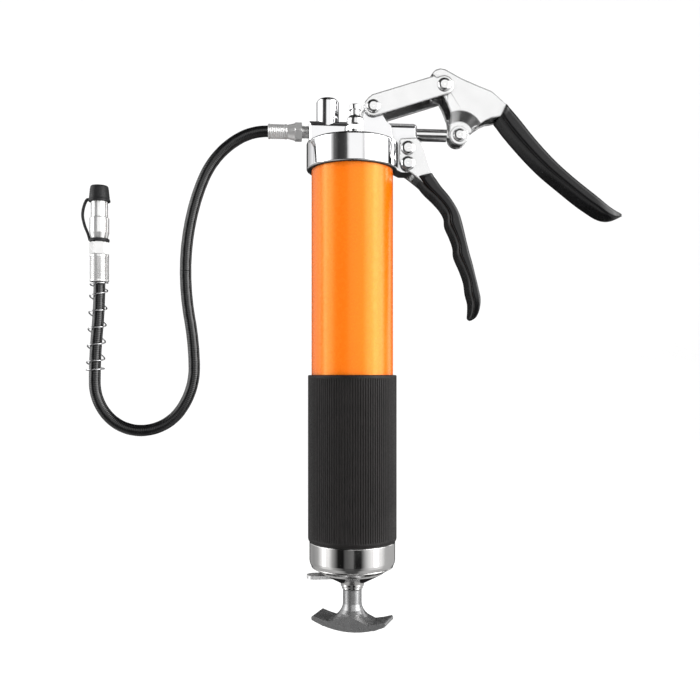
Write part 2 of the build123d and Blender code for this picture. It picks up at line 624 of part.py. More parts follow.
# ---------------------------------------------------------------- hose
# centreline knots: (x, z), then the direction of travel there
HOSE_START_X = -58.75
KNOT_TABLE = [
    ((HOSE_START_X, PUMP_Z), (-1, 0)), ((-93.9, 79.2), (-20.8, -25.6)),
    ((-108.2, 49.2), (-9.3, -31.8)), ((-115.2, 0.2), (0, -1)),
    ((-109.3, -65.5), (0.5, -32)), ((-145.3, -109.3), (-1, 0)),
    ((-176.3, -76.0), (0, 1)), ((COUPLER_X, HOSE_END_Z), (0, 1))]
KNOTS = [(Vector(x, 0, z), Vector(dx, 0, dz).normalized()) for (x, z), (dx, dz) in KNOT_TABLE]
GAP_HALF = 1.0               # half the gap left in the hose at each of its two hinges


def meeting(start, start_dir, end, end_dir):
    """Point where the two tangent arcs between two knots meet."""
    chord = end - start
    square = chord.dot(chord)
    forward = chord.dot(start_dir + end_dir)
    bend = 2 * (1 - start_dir.dot(end_dir))
    if bend < 1e-6:
        reach = square / (4 * chord.dot(end_dir))
    else:
        reach = (-forward + math.sqrt(forward ** 2 + bend * square)) / bend
    return (start + end + (start_dir - end_dir) * reach) * 0.5


def arc(start, heading, end):
    """Arc leaving start along heading, and its heading at the end."""
    chord = end - start
    normal = Vector(-heading.Z, 0, heading.X)
    r = chord.dot(chord) / (2 * chord.dot(normal))
    centre = start + normal * r
    middle = centre + ((start + end) * 0.5 - centre).normalized() * abs(r)
    along = chord.normalized()
    return ThreePointArc(start, middle, end), along * (2 * heading.dot(along)) - heading


def hose_runs():
    """The bent part of the hose, cut at two hinges: upper, middle and lower runs."""
    edges = []
    for (start, start_dir), (end, end_dir) in zip(KNOTS, KNOTS[1:]):
        middle = meeting(start, start_dir, end, end_dir)
        first_arc, heading = arc(start, start_dir, middle)
        second_arc, _ = arc(middle, heading, end)
        edges += [first_arc, second_arc]
    wire = Wire(edges)
    hose = round_sweep(HOSE_R, wire) - round_sweep(HOSE_BORE, wire)
    point, heading = KNOTS[2]
    slope = math.degrees(math.atan2(-heading.X, -heading.Z))
    hose -= Pos(point.X, 0, point.Z) * (Rot(0, slope, 0) * Box(16, 16, 2 * GAP_HALF))
    point, _ = KNOTS[5]
    hose -= Pos(point.X, 0, point.Z) * Box(2 * GAP_HALF, 16, 16)
    runs = hose.solids()
    upper = max(runs, key=lambda s: s.bounding_box().max.Z)
    lower = min(runs, key=lambda s: s.center().X)
    middle = [s for s in runs if s is not upper and s is not lower][0]
    return upper, middle, lower


upper_run, middle_run, lower_run = hose_runs()
save("hose_upper", upper_run + (along_x(HOSE_R, HOSE_START_X, -46.4)
                                - along_x(HOSE_BORE, -60, -46)))
save("hose_middle", middle_run)
save("hose_lower", lower_run + (upright(HOSE_R, COUPLER_X, 0, HOSE_END_Z, END_Z - 1.0)
                                - upright(HOSE_BORE, COUPLER_X, 0, -9, END_Z)))
# spring guard: closed coils at both ends, open between
save("spring_guard", coil(
    5.75, 0.48, [(0, -8.5), (0.6, -9.4), (1.25, -16.1), (5.25, -61.8), (5.9, -67.0), (6.7, -68.1)],
    per_turn=16, x=COUPLER_X - 0.2, tilt=0.044, hand=-1, lean=1.5))


# ---------------------------------------------------------------- coupler
def coupler_jaws():
    """Three 70 degree segments of a lipped ring."""
    ring = turned([(3.45, 43.8), (4.15, 43.8), (4.15, 49.75), (2.8, 49.75), (2.8, 48.9),
                   (3.45, 47.8)])
    quarter = block(-20, 20, 0.0, 30, 40, 52)
    jaws = []
    for angle in (90, 210, 330):
        wedge = (Rot(0, 0, angle) * quarter) & (Rot(0, 0, angle - 70) * quarter)
        jaws += (Pos(COUPLER_X, 0, 0) * (ring & wedge)).solids()
    return Compound(children=jaws)


def lanyard():
    """Round strap from the dust cap down to a ring at the coupler's foot."""
    strap = round_sweep(0.95, Spline(
        (COUPLER_X - 8.3, 0, 48.4), (-182.9, 0, 45.4), (-184.1, 0, 40.9), (-184.3, 0, 36.3),
        (-182.9, 0, 30.2), (-180.9, 0, 25.2), (COUPLER_X - 6.9, 0, 20.6)))
    return strap + turned([(5.2, 19.5), (6.7, 19.5), (6.7, 21.5), (5.2, 21.5)], COUPLER_X)


save("coupler_body", turned([
    (3.4, HEX_TOP), (5.2, HEX_TOP), (5.2, 21.7), (5.5, 21.7), (6.3, 25.0), (6.48, 25.6),
    (6.48, 35.6), (6.1, 36.0), (4.9, 36.0), (4.9, 30.0), (1.5, 30.0), (1.5, 27.0),
    (3.4, 27.0)], COUPLER_X))
save("coupler_nose", turned([
    (4.2, 30.0), (4.9, 30.0), (4.9, 36.0), (5.5, 36.0), (5.63, 36.2), (5.63, 52.6),
    (5.2, 53.6), (4.4, 54.0), (3.4, 54.0), (3.4, 49.8), (4.2, 49.8)], COUPLER_X))
save("coupler_jaws", coupler_jaws())
save("coupler_seal", turned([(0.8, 38.6), (4.1, 38.6), (4.1, 42.6), (3.3, 43.5), (1.6, 43.0),
                             (0.8, 42.6)], COUPLER_X))
save("coupler_spring", coil(3.3, 0.35, [(0, 30.4), (1, 31.2), (4.5, 37.4), (5.5, 38.2)],
                            x=COUPLER_X))
save("dust_cap", turned([
    (5.72, 46.8), (7.3, 46.8), (7.2, 48.0), (6.7, 51.0), (6.0, 57.0), (5.3, 57.8), (0, 57.8),
    (0, 54.6), (5.72, 54.6)], COUPLER_X))
save("lanyard", lanyard())
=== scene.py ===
# Lever-operated grease gun. The barrel stands upright round the Z axis with the pump head above it.
# The lever and handle grips reach out to +X, the hose loops down on the -X side and ends in a
# coupler under a dust cap. Grips, hose and strap all follow lines in the XZ plane, and the camera
# looks from the -Y side. Shapes are given in millimetres, and scaled by MM when a mesh is built.
import bpy
import bmesh
import json
import math
from functools import partial
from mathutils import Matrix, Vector

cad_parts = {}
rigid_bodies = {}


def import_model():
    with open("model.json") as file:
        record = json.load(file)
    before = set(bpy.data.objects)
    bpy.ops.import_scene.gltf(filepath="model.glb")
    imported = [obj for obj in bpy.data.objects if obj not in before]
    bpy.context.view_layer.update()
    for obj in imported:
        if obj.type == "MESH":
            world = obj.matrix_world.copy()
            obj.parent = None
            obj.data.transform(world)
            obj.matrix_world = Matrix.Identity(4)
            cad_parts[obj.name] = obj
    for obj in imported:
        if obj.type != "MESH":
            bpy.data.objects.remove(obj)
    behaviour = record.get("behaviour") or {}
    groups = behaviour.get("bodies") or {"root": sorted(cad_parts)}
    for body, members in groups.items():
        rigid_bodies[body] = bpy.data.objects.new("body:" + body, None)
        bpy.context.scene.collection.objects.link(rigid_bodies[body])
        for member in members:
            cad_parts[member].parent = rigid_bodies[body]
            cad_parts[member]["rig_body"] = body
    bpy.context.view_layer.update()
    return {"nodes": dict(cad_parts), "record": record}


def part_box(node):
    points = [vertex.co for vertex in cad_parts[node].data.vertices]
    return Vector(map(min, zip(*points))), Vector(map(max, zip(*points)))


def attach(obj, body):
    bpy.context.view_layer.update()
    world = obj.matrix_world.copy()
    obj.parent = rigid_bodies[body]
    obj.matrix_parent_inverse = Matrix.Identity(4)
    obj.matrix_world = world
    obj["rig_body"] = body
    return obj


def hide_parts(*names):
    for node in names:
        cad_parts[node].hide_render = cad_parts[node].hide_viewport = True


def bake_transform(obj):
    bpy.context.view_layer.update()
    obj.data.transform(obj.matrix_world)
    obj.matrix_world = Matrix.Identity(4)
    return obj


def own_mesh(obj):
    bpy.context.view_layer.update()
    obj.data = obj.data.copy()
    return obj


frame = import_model()
NODES = frame["nodes"]
SLOT_OF = {part["node"]: part["material_slot"] for part in frame["record"]["subparts"]}
scene = bpy.context.scene
MM = 0.001
COUPLER_X = -173.2      # upright axis of the coupler, dust cap and hose end


# ------------------------------------------------------------------ shader helpers
def set_inputs(tree, node, values):
    """Link the sockets among the values, and set the rest as constants."""
    for key, value in values.items():
        if isinstance(value, bpy.types.NodeSocket):
            tree.links.new(value, node.inputs[key])
        else:
            node.inputs[key].default_value = value


def add_node(tree, kind, inputs=None, **settings):
    node = tree.nodes.new("ShaderNode" + kind)
    for key, value in settings.items():
        setattr(node, key, value)
    set_inputs(tree, node, inputs or {})
    return node


def math_node(tree, operation, *values):
    node = add_node(tree, "Math", dict(enumerate(values)), operation=operation)
    return node.outputs["Value"]


def map_range(tree, value, from_min, from_max, to_min=0.0, to_max=1.0, **settings):
    inputs = {"Value": value, "From Min": from_min, "From Max": from_max,
              "To Min": to_min, "To Max": to_max}
    return add_node(tree, "MapRange", inputs, **settings).outputs["Result"]


def new_material(name):
    material = bpy.data.materials.new(name)
    material.use_nodes = True
    tree = material.node_tree
    tree.nodes.clear()
    output = add_node(tree, "OutputMaterial")
    shader = add_node(tree, "BsdfPrincipled")
    tree.links.new(shader.outputs["BSDF"], output.inputs["Surface"])
    return material, tree, shader


# ------------------------------------------------------------------ materials
def surface(name, base, metallic, rough, bump, mottle, wear=None, painted_corner_shade=0.0, rounding=0.0,
            waves=None, spec=0.5, spec_tint=(1, 1, 1), coat=(0.0, 0.05)):
    """Procedural finish; the groups of numbers are explained above FINISHES."""
    material, tree, shader = new_material(name)
    node = partial(add_node, tree)
    remap = partial(map_range, tree)
    place = node("TexCoord").outputs["Object"]
    mapped = node("Mapping", {"Vector": place}).outputs["Vector"]

    def noise(scale, detail, vector=place):
        inputs = {"Scale": scale, "Detail": detail, "Vector": vector}
        return node("TexNoise", inputs).outputs["Fac"]

    def mix(a, b, factor, **settings):
        inputs = {"A": a, "B": b, "Factor": factor}
        return node("Mix", inputs, data_type="RGBA", **settings).outputs["Result"]

    def rounded_normal(radius, samples):
        return node("Bevel", {"Radius": radius * MM}, samples=samples).outputs["Normal"]

    def bumped(height, depth, normal=None):
        inputs = {"Strength": 1.0, "Distance": depth * MM, "Height": height}
        if normal is not None:
            inputs["Normal"] = normal
        return node("Bump", inputs).outputs["Normal"]

    darkening, mottle_scale = mottle
    dark = tuple(c * (1 - darkening) for c in base)
    colour = mix((*base, 1), (*dark, 1), remap(noise(mottle_scale, 5), 0.3, 0.7))

    if wear:
        # the bevelled normal leans away from the true one only near an edge
        amount, grey, radius = wear
        lean = node("VectorMath", {0: rounded_normal(radius, samples=4),
                                   1: node("NewGeometry").outputs["Normal"]},
                    operation="DOT_PRODUCT").outputs["Value"]
        near_edge = remap(lean, 0.985, 0.86)
        patches = remap(noise(350.0, 4), 0.42, 0.6)
        worn = math_node(tree, "MULTIPLY", near_edge, patches)
        worn = math_node(tree, "MULTIPLY", worn, amount)
        colour = mix(colour, (grey, grey, grey, 1), worn)

    # painted shade: the colour is darkened where ambient occlusion finds nearby surfaces, in
    # corners, crevices and contact lines
    if painted_corner_shade > 0:
        openness = node("AmbientOcclusion", {"Distance": 0.004}, samples=4).outputs["AO"]
        shade = remap(openness, 0.25, 0.8, 1 - painted_corner_shade, 1.0)
        colour = mix(colour, shade, 1.0, blend_type="MULTIPLY")

    rough_mid, rough_spread, rough_scale = rough
    roughness = remap(noise(rough_scale, 6, mapped), 0.3, 0.7,
                      max(rough_mid - rough_spread, 0.02), rough_mid + rough_spread)

    bump_scale, bump_depth = bump
    under = rounded_normal(rounding, samples=6) if rounding > 0 else None
    normal = bumped(noise(bump_scale, 3, mapped), bump_depth, under)
    if waves:
        wave_scale, wave_depth = waves
        normal = bumped(noise(wave_scale, 2), wave_depth, normal)

    set_inputs(tree, shader, {
        "Base Color": colour, "Roughness": roughness, "Normal": normal, "Metallic": metallic,
        "Specular IOR Level": spec, "Specular Tint": (*spec_tint, 1),
        "Coat Weight": coat[0], "Coat Roughness": coat[1]})
    return material


# rough: middle roughness, spread either way, noise scale
# bump: noise scale, depth in mm       waves: the same for a second, broader bump
# mottle: share of darkening in the patches, noise scale
# wear: strength of the bright edges, their grey, their radius in mm
# rounding: radius in mm of the shaded edge rounding
# painted_corner_shade: painted shade, darkening in the corners      coat: weight, roughness
FINISHES = {
    "chrome_head": dict(base=(0.92, 0.92, 0.93), metallic=1.0, rough=(0.07, 0.03, 120),
                        bump=(900, 0.003), mottle=(0.05, 40), painted_corner_shade=0.55, waves=(120, 0.03),
                        rounding=0.5),
    "orange_paint": dict(base=(0.86, 0.150, 0.0012), metallic=0.0, rough=(0.27, 0.04, 300),
                         bump=(900, 0.008), mottle=(0.05, 25), spec=1.0,
                         spec_tint=(1.0, 0.95, 0.26), coat=(0.12, 0.10), painted_corner_shade=0.3,
                         waves=(260, 0.012)),
    "ribbed_rubber": dict(base=(0.011, 0.0095, 0.0092), metallic=0.0, rough=(0.50, 0.10, 700),
                          bump=(2600, 0.05), mottle=(0.3, 90), spec=0.30, painted_corner_shade=0.4),
    "chrome_cap": dict(base=(0.86, 0.85, 0.84), metallic=1.0, rough=(0.055, 0.025, 150),
                       bump=(1200, 0.003), mottle=(0.06, 50), painted_corner_shade=0.4, waves=(120, 0.02),
                       rounding=0.4),
    "zinc_steel": dict(base=(0.90, 0.90, 0.90), metallic=1.0, rough=(0.17, 0.05, 260),
                       bump=(1400, 0.006), mottle=(0.05, 70), wear=(0.4, 0.95, 0.4), painted_corner_shade=0.6,
                       waves=(60, 0.035), rounding=1.5),
    "pin_steel": dict(base=(0.88, 0.88, 0.88), metallic=1.0, rough=(0.15, 0.05, 500),
                      bump=(1600, 0.006), mottle=(0.08, 120), wear=(0.3, 0.8, 0.5), painted_corner_shade=0.5,
                      rounding=0.5),
    "spring_steel": dict(base=(0.80, 0.80, 0.81), metallic=1.0, rough=(0.22, 0.08, 600),
                         bump=(2000, 0.008), mottle=(0.12, 150), painted_corner_shade=0.3),
    "cast_grey": dict(base=(0.37, 0.37, 0.373), metallic=0.80, rough=(0.28, 0.03, 500),
                      bump=(1500, 0.004), mottle=(0.10, 90), wear=(0.3, 0.55, 0.6), painted_corner_shade=0.45,
                      waves=(300, 0.008)),
    "pressed_tab": dict(base=(0.74, 0.74, 0.74), metallic=0.6, rough=(0.30, 0.08, 400),
                        bump=(1500, 0.01), mottle=(0.1, 90), wear=(0.4, 0.8, 0.4), painted_corner_shade=0.5,
                        rounding=0.5),
    "vinyl": dict(base=(0.0045, 0.0045, 0.005), metallic=0.0, rough=(0.24, 0.05, 250),
                  bump=(900, 0.010), mottle=(0.4, 60), coat=(0.35, 0.16), spec=0.30,
                  waves=(120, 0.04)),
    "hose_rubber": dict(base=(0.0045, 0.0045, 0.005), metallic=0.0, rough=(0.26, 0.07, 400),
                        bump=(1500, 0.02), mottle=(0.3, 80), coat=(0.6, 0.10), spec=0.35,
                        waves=(300, 0.03)),
    "seal_rubber": dict(base=(0.012, 0.012, 0.013), metallic=0.0, rough=(0.46, 0.08, 500),
                        bump=(1800, 0.03), mottle=(0.3, 100), spec=0.35),
    "nickel_fitting": dict(base=(0.86, 0.855, 0.85), metallic=0.72, rough=(0.18, 0.06, 400),
                           bump=(1800, 0.006), mottle=(0.12, 130), wear=(0.4, 0.8, 0.3),
                           painted_corner_shade=0.65, waves=(380, 0.03), rounding=0.3),
}
MATERIALS = {slot: surface(slot, **finish) for slot, finish in FINISHES.items()}


def darken_in_reflections(material):
    """Keep the barrel's colour out of the dark grips' mirror image."""
    tree = material.node_tree
    dark = add_node(tree, "BsdfDiffuse", {"Color": (0.05, 0.03, 0.02, 1)})
    swap = add_node(tree, "MixShader", {
        0: add_node(tree, "LightPath").outputs["Is Glossy Ray"],
        1: tree.nodes["Principled BSDF"].outputs[0],
        2: dark.outputs[0]})
    tree.links.new(swap.outputs[0], tree.nodes["Material Output"].inputs["Surface"])


darken_in_reflections(MATERIALS["orange_paint"])


# ------------------------------------------------------------------ mesh helpers
def dress(obj, slot):
    obj.data.materials.clear()
    obj.data.materials.append(MATERIALS[slot])


def smooth_by_angle(obj, degrees):
    """Smooth shading, with edges steeper than the angle kept sharp."""
    mesh = obj.data
    mesh.shade_smooth()
    bm = bmesh.new()
    bm.from_mesh(mesh)
    limit = math.radians(degrees)
    for edge in bm.edges:
        edge.smooth = len(edge.link_faces) == 2 and edge.calc_face_angle(0) <= limit
    bm.to_mesh(mesh)
    bm.free()


def add_object(name, verts, faces, slot):
    """Object from vertices in mm."""
    mesh = bpy.data.meshes.new(name)
    mesh.from_pydata([tuple(c * MM for c in vert) for vert in verts], [], faces)
    mesh.validate()
    bm = bmesh.new()
    bm.from_mesh(mesh)
    bmesh.ops.recalc_face_normals(bm, faces=bm.faces)
    bm.to_mesh(mesh)
    bm.free()
    obj = bpy.data.objects.new(name, mesh)
    scene.collection.objects.link(obj)
    dress(obj, slot)
    mesh.shade_smooth()
    return obj


def turned(name, profiles, slot, x=0.0):
    """Form round an upright axis at x. Each profile is a closed ring of (radius, z), and the
    profiles are spread evenly round the turn."""
    verts, faces = [], []
    columns, count = len(profiles), len(profiles[0])
    for i, profile in enumerate(profiles):
        angle = 2 * math.pi * i / columns
        for radius, z in profile:
            verts.append((x + radius * math.cos(angle), radius * math.sin(angle), z))
        j = (i + 1) % columns
        for k in range(count):
            n = (k + 1) % count
            faces.append((i * count + k, j * count + k, j * count + n, i * count + n))
    return add_object(name, verts, faces, slot)


def tube(name, rings, ends, slot):
    """Skin over a row of vertex rings, closed at each end by a fan round an end point."""
    sides, last = len(rings[0]), len(rings) - 1
    verts = [vert for ring in rings for vert in ring] + list(ends)
    first_tip = len(rings) * sides
    faces, fans = [], []
    for i in range(last):
        for k in range(sides):
            n = (k + 1) % sides
            faces.append((i * sides + k, i * sides + n, (i + 1) * sides + n, (i + 1) * sides + k))
    for k in range(sides):
        n = (k + 1) % sides
        fans.append((first_tip, n, k))
        fans.append((first_tip + 1, last * sides + k, last * sides + n))
    return add_object(name, verts, faces + fans, slot)


def swept(name, path, radius, slot, sides, relief=lambda travelled, angle: 0.0):
    """Round bar along a path; relief is added to the radius."""
    path = [Vector(point) for point in path]
    rings = []
    across = Vector((0, 1, 0))
    travelled = 0.0
    for i, point in enumerate(path):
        along = (path[min(i + 1, len(path) - 1)] - path[max(i - 1, 0)]).normalized()
        u = (across - along * across.dot(along)).normalized()
        v = along.cross(u)
        if i:
            travelled += (point - path[i - 1]).length
        ring = []
        for k in range(sides):
            angle = 2 * math.pi * k / sides
            reach = radius + relief(travelled, angle)
            ring.append(point + (u * math.cos(angle) + v * math.sin(angle)) * reach)
        rings.append(ring)
    return tube(name, rings, (path[0], path[-1]), slot)


def catmull_rom(points, steps):
    """Curve through the points, with the same number of steps between each pair."""
    points = [Vector(point) for point in points]
    curve = []
    for i in range(len(points) - 1):
        a, b = points[max(i - 1, 0)], points[i]
        c, d = points[i + 1], points[min(i + 2, len(points) - 1)]
        for k in range(steps):
            t = k / steps
            curve.append(0.5 * ((2 * b) + (c - a) * t + (2 * a - 5 * b + 4 * c - d) * t * t
                                + (3 * b - a - 3 * c + d) * t ** 3))
    curve.append(points[-1])
    return curve


def evenly_spaced(line, count):
    """The same flat line with count points at equal spacing."""
    lengths = [0.0]
    for p, q in zip(line, line[1:]):
        lengths.append(lengths[-1] + math.dist(p, q))
    spaced, j = [], 0
    for i in range(count):
        target = lengths[-1] * i / (count - 1)
        while j < len(lengths) - 2 and lengths[j + 1] < target:
            j += 1
        t = (target - lengths[j]) / max(lengths[j + 1] - lengths[j], 1e-9)
        p, q = line[j], line[j + 1]
        spaced.append((p[0] + (q[0] - p[0]) * t, p[1] + (q[1] - p[1]) * t))
    return spaced


# ------------------------------------------------------------------ CAD pieces that stay
REBUILT = {"barrel_grip", "hose_upper", "hose_middle", "hose_lower", "lever_grip", "handle_grip",
           "dust_cap", "lanyard", "plunger_seal", "head_gasket", "follower_cup", "coupler_seal"}
SLOT_CHANGES = {"rod_latch": "pressed_tab", "filler_nipple": "pin_steel"}
EDGE_WIDTH = {          # bevel width in mm
    "pump_head": 0.5, "lever": 0.8, "link": 0.8, "handle_frame": 0.8, "t_handle": 2.2,
    "end_cap": 0.25, "rod_latch": 0.3, "plunger": 0.25, "filler_nipple": 0.15,
    "head_fitting": 0.15, "end_fitting": 0.15, "rod_nut": 0.2, "ferrule_head": 0.15,
    "ferrule_end": 0.15, "coupler_body": 0.15, "coupler_nose": 0.15, "valve_plug": 0.2,
    "barrel_tube": 0.1, "spring_seat": 0.1, "follower_plate": 0.1}


def finish_cad_pieces():
    for name, obj in NODES.items():
        if name in REBUILT:
            continue
        dress(obj, SLOT_CHANGES.get(name, SLOT_OF[name]))
        smooth_by_angle(obj, 30)
        if name in EDGE_WIDTH:
            weld = obj.modifiers.new("weld", "WELD")
            weld.merge_threshold = 0.000002
            bevel = obj.modifiers.new("edge", "BEVEL")
            bevel.width = EDGE_WIDTH[name] * MM
            bevel.segments = 2
            bevel.limit_method = "ANGLE"
            bevel.angle_limit = math.radians(38)
            bevel.harden_normals = True


# ------------------------------------------------------------------ barrel grip
RIBS = 110
STEPS_PER_RIB = 8
GROOVE_DEPTH = 0.55
SLEEVE_BORE = 28.52     # inner radius
SLEEVE_OVERHANG = 0.17  # how far the outer skin drops below the bore


def rib_height(angle):
    """0 in the groove, 1 on the rounded crown."""
    phase = (angle * RIBS / (2 * math.pi)) % 1.0
    off_centre = abs(phase - 0.5) * 2
    return max(0.0, 1 - max(0.0, (off_centre - 0.42) / 0.5) ** 2)


def build_barrel_grip():
    """Rubber sleeve with fine upright ribs."""
    low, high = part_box("barrel_grip")
    bottom, top, outer = low.z / MM, high.z / MM, high.x / MM
    # z, offset from the outer radius, 1 where ribbed
    levels = [
        (bottom - SLEEVE_OVERHANG, -1.6, 0), (bottom + 0.05, -1.1, 0), (bottom + 0.6, -0.5, 0),
        (bottom + 1.3, -0.15, 0), (bottom + 2.2, 0, 0), (bottom + 3.0, 0, 0),
        (bottom + 3.6, 0, 1), (bottom + 30, 0, 1), (bottom + 58, 0, 1), (bottom + 86, 0, 1),
        (top - 2.6, 0, 1), (top - 2.0, 0, 0), (top - 1.0, 0, 0), (top - 0.35, -0.12, 0),
        (top - 0.08, -0.5, 0), (top, -1.3, 0),
        (top, SLEEVE_BORE - outer, 0), (bottom, SLEEVE_BORE - outer, 0)]
    profiles = []
    columns = RIBS * STEPS_PER_RIB
    for i in range(columns):
        groove = GROOVE_DEPTH * (1 - rib_height(2 * math.pi * i / columns))
        profiles.append([(outer + offset - groove * ribbed, z) for z, offset, ribbed in levels])
    sleeve = turned("grip_sleeve", profiles, "ribbed_rubber")
    smooth_by_angle(sleeve, 50)
    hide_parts("barrel_grip")
    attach(sleeve, "gun")


# ------------------------------------------------------------------ vinyl grips
VINYL_HALF_WIDTH = 12.4     # along Y
VINYL_SIDES = 48
VINYL_SQUARENESS = 4.2      # superellipse power of the section; 2 would be an ellipse
# share of the section left on each ring that closes the mouth
MOUTH_RINGS = (0.72, 0.86, 0.95, 0.99)
# the same at the tip: (distance past the last ring in ring spacings, share left)
TIP_RINGS = ((0.35, 0.93), (0.6, 0.8), (0.75, 0.55), (0.8, 0.25))

# outlines as (x, z), from the open mouth to the tip
LEVER_UPPER = [
    (107.5, 118.9), (115.5, 110.4), (129.14, 94.1), (142.84, 79.8), (156.67, 67.9),
    (170.48, 57.4), (181.0, 49.5), (187.3, 46.0), (191.4, 44.5), (194.0, 43.6)]
LEVER_LOWER = [
    (103.1, 109.3), (109.8, 100.2), (122.4, 86.2), (136.0, 73.0), (149.6, 62.2),
    (163.4, 51.6), (171.8, 46.0), (178.6, 41.8), (184.2, 40.0), (189.4, 40.4), (193.6, 42.5)]
HANDLE_OUTER = [        # +X side
    (55.5, 68.9), (61.6, 60.1), (67.6, 52.9), (72.7, 44.9), (75.8, 37.6), (77.8, 29.8),
    (79.5, 22.0), (81.6, 14.2), (83.9, 6.0), (86.0, -3.0), (88.2, -11.8), (89.5, -18.0),
    (89.0, -24.8), (87.2, -30.2), (84.6, -32.6)]
HANDLE_INNER = [        # -X side, facing the barrel
    (44.6, 66.2), (50.6, 58.5), (58.6, 51.0), (63.4, 45.6), (66.0, 40.6), (66.7, 34.2),
    (70.4, 26.2), (72.6, 19.6), (73.2, 12.8), (77.6, 3.0), (80.5, -5.2), (81.6, -13.4),
    (83.3, -20.0), (83.2, -26.2), (82.4, -31.2)]


def build_vinyl_grip(name, node, outer, inner, taper, blunt, rings, mouth_bead):
    """Closed sleeve between two outlines. taper is the share of the length over which the tip
    narrows, blunt the share of the width left there, mouth_bead the swelling at the mouth in mm."""
    outer, inner = (evenly_spaced(catmull_rom(side, 8), rings) for side in (outer, inner))
    sections = []       # centre x, centre z, half extents along x and z, half width along y
    for i, (a, b) in enumerate(zip(outer, inner)):
        t = i / (rings - 1)
        width = VINYL_HALF_WIDTH
        if t > 1 - taper:
            u = (t - (1 - taper)) / taper
            width *= blunt + (1 - blunt) * math.sqrt(max(0.0, 1 - u ** 2.6))
        swell = 1.0
        if t * rings < 3:
            swell += mouth_bead / VINYL_HALF_WIDTH * math.sin(math.pi * (t * rings + 0.6) / 3.6)
        sections.append(((a[0] + b[0]) / 2, (a[1] + b[1]) / 2,
                         (a[0] - b[0]) / 2 * swell, (a[1] - b[1]) / 2 * swell, width * swell))

    def shrunk(section, share, dx=0.0, dz=0.0):
        x, z, *extents = section
        return (x + dx, z + dz, *(extent * share for extent in extents))

    before, last = sections[-2:]
    step_x, step_z = last[0] - before[0], last[1] - before[1]
    mouth = [shrunk(sections[0], share) for share in MOUTH_RINGS]
    tip = [shrunk(last, share, step_x * past, step_z * past) for past, share in TIP_RINGS]
    sections = mouth + sections + tip

    loops = []
    for x, z, half_x, half_z, width in sections:
        loop = []
        for k in range(VINYL_SIDES):
            angle = 2 * math.pi * k / VINYL_SIDES
            c, s = math.cos(angle), math.sin(angle)
            r = (abs(c) ** VINYL_SQUARENESS + abs(s) ** VINYL_SQUARENESS) ** (-1 / VINYL_SQUARENESS)
            loop.append((x + half_x * c * r, width * s * r, z + half_z * c * r))
        loops.append(loop)
    ends = [(x, 0, z) for x, z, *_ in (sections[0], sections[-1])]
    grip = tube(name, loops, ends, "vinyl")
    smooth_by_angle(grip, 55)
    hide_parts(node)
    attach(grip, NODES[node]["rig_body"])


# ------------------------------------------------------------------ soft seals
# node, voxel size in mm, smoothing passes
SEALS = [("plunger_seal", 0.25, 2), ("head_gasket", 0.5, 1),
         ("follower_cup", 0.6, 2), ("coupler_seal", 0.2, 2)]


def build_seal(node, voxel, relax):
    """Moulded copy of a CAD node with its corners rounded off."""
    source = NODES[node]
    mesh = source.data.copy()
    obj = bpy.data.objects.new(node + "_soft", mesh)
    scene.collection.objects.link(obj)
    bm = bmesh.new()
    bm.from_mesh(mesh)
    bmesh.ops.remove_doubles(bm, verts=bm.verts, dist=1e-6)
    bm.to_mesh(mesh)
    bm.free()
    remesh = obj.modifiers.new("r", "REMESH")
    remesh.mode = "VOXEL"
    remesh.voxel_size = voxel * MM
    smooth = obj.modifiers.new("s", "SMOOTH")
    smooth.factor = 0.5
    smooth.iterations = relax
    depsgraph = bpy.context.evaluated_depsgraph_get()
    moulded = bpy.data.meshes.new_from_object(obj.evaluated_get(depsgraph))
    obj.modifiers.clear()
    obj.data = moulded
    bpy.data.meshes.remove(mesh)
    dress(obj, SLOT_OF[node])
    moulded.shade_smooth()
    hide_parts(node)
    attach(obj, source["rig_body"])


# ------------------------------------------------------------------ hose
HOSE_RADIUS = 3.95
HOSE_SIDES = 30
HOSE_STEP = 0.28
HEAD_TAIL_X = -47.5     # start of the straight run at the pump head
HEAD_TAIL_STEPS = 40
END_TAIL_STEPS = 58
# ((x, z), direction) from the pump head to the coupler
HOSE_KNOTS = [
    ((-58.75, 97.9), (-1, 0)), ((-93.9, 79.2), (-20.8, -25.6)),
    ((-108.2, 49.2), (-9.3, -31.8)), ((-115.2, 0.2), (0, -1)),
    ((-109.3, -65.5), (0.5, -32)), ((-145.3, -109.3), (-1, 0)),
    ((-176.3, -76.0), (0, 1)), ((COUPLER_X, -7.8), (0, 1))]
SPLIT_KNOT = 3          # where the hose is divided into two pieces


def dot(a, b):
    return a[0] * b[0] + a[1] * b[1]


def unit(v):
    length = math.hypot(*v)
    return (v[0] / length, v[1] / length)


def meeting_point(p0, t0, p1, t1):
    """Where two tangent arcs from p0 and to p1 join, both with control arms of equal length."""
    chord = (p1[0] - p0[0], p1[1] - p0[1])
    along = dot(chord, (t0[0] + t1[0], t0[1] + t1[1]))
    square = dot(chord, chord)
    k = 2 * (1 - dot(t0, t1))
    if k < 1e-6:        # parallel directions
        arm = square / (4 * dot(chord, t1))
    else:
        arm = (-along + math.sqrt(along * along + k * square)) / k
    return ((p0[0] + p1[0] + arm * (t0[0] - t1[0])) / 2,
            (p0[1] + p1[1] + arm * (t0[1] - t1[1])) / 2)


